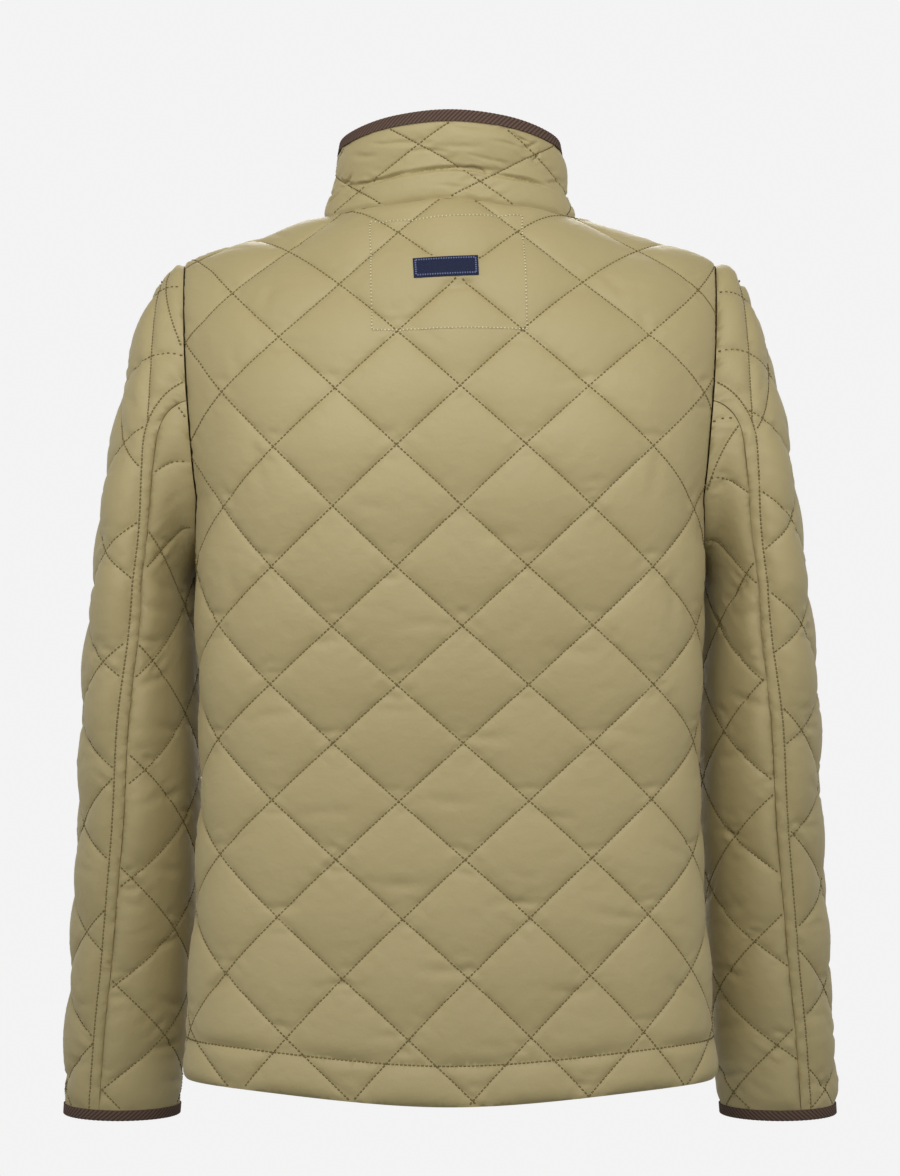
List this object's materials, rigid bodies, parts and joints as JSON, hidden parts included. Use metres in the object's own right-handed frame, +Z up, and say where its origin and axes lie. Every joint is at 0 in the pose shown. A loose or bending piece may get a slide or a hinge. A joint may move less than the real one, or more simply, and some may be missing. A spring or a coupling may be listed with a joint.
{
  "type": "quilted jacket",
  "caption": "Khaki diamond-quilted jacket with a stand collar, brown twill binding at the collar and cuffs, a front zip and a bare navy label on the upper back, filled out as when worn",
  "frame": {"origin": "the middle of the neck opening, about level with the back neck seam, where the wearer's shoulders carry the jacket", "axes": "+Z up, -Y the front with the zip, +Y the back, +X the wearer's left"},
  "size_m": [0.6386, 0.2713, 0.8148],
  "materials": {
    "cloth": "brushed polyester face over thin wadding, quilted in diamonds",
    "binding": "dark brown twill tape, matt",
    "tape": "woven zip tape, matt",
    "zip_metal": "antique brass, satin",
    "label": "woven navy label, bare"
  },
  "bodies": {
    "jacket": {"back": "cloth", "back_label": "label", "front_left": "cloth", "front_right": "cloth", "sleeve_upper_left": "cloth", "sleeve_upper_right": "cloth", "sleeve_under_left": "cloth", "sleeve_under_right": "cloth", "cuff_binding_left": "binding", "cuff_binding_right": "binding", "zip_tape_left": "tape", "zip_tape_right": "tape", "collar": "cloth", "collar_binding": "binding", "zip_chain": "zip_metal", "zip_slider": "zip_metal", "zip_stop": "zip_metal"},
    "pull_tab": {"zip_pull": "zip_metal"}
  },
  "joints": [
    {"name": "pull_tab_swing", "type": "hinge", "parent": "jacket", "child": "pull_tab", "pos_m": [0, -0.09609, -0.00171], "axis": [-1, 0, 0], "range_deg": [0, 165]}
  ]
}
